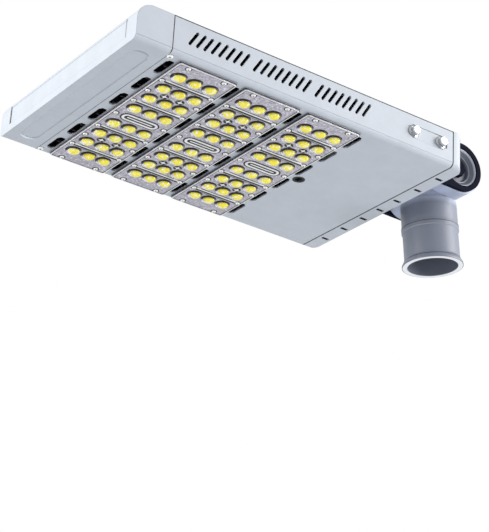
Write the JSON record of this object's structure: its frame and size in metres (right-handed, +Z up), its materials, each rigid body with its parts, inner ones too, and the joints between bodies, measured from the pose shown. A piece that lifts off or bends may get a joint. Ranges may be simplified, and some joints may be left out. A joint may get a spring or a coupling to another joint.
{
  "type": "street light head",
  "caption": "Flat LED street light head with lens modules, a vented housing and a tilting sleeve that slips over a pole.",
  "frame": {"origin": "centre of the pole sleeve's mouth, on the socket's axis", "axes": "+Z up along the pole and the socket, +X towards the nose of the head"},
  "size_m": [0.5555, 0.2972, 0.167],
  "materials": {
    "housing_paint": "light silver-grey powder coat, satin",
    "sleeve_paint": "mid-grey powder coat on a casting, satin",
    "dark_paint": "charcoal coat, satin",
    "cup_metal": "grey painted turned cup, satin",
    "fastener_steel": "bright zinc-plated steel",
    "heat_sink_metal": "black anodised extrusion",
    "board_mask": "white solder mask",
    "phosphor": "yellow phosphor",
    "gasket_rubber": "black silicone rubber",
    "lens_plastic": "clear lens plastic over a white board",
    "driver_case": "plain die-cast case",
    "black_plastic": "black moulded plastic",
    "pale_plastic": "pale moulded plastic"
  },
  "bodies": {
    "sleeve": {"pole_sleeve": "sleeve_paint", "sleeve_set_screws": "fastener_steel"},
    "head": {"arm_screws": "fastener_steel", "body_tray": "housing_paint", "bracket_arm_far": "dark_paint", "bracket_arm_near": "dark_paint", "cross_bracket": "dark_paint", "driver": "driver_case", "heat_sink_front": "heat_sink_metal", "heat_sink_middle": "heat_sink_metal", "heat_sink_rear": "heat_sink_metal", "led_board_front": "board_mask", "led_board_middle": "board_mask", "led_board_rear": "board_mask", "led_chips_front": "phosphor", "led_chips_middle": "phosphor", "led_chips_rear": "phosphor", "lens_plate_front": "lens_plastic", "lens_plate_middle": "lens_plastic", "lens_plate_rear": "lens_plastic", "module_gasket_front": "gasket_rubber", "module_gasket_middle": "gasket_rubber", "module_gasket_rear": "gasket_rubber", "nose_cap": "housing_paint", "pivot_bolt": "dark_paint", "pivot_cup_far": "cup_metal", "pivot_cup_near": "cup_metal", "pivot_nut": "dark_paint", "rear_cap": "housing_paint", "side_bolts": "fastener_steel", "surge_protector": "black_plastic", "terminal_block": "pale_plastic", "top_cover": "housing_paint"}
  },
  "joints": [
    {"name": "head_tilt", "type": "hinge", "parent": "sleeve", "child": "head", "pos_m": [-0.0065, 0, 0.113], "axis": [0, -1, 0], "range_deg": [-18, 84]}
  ]
}
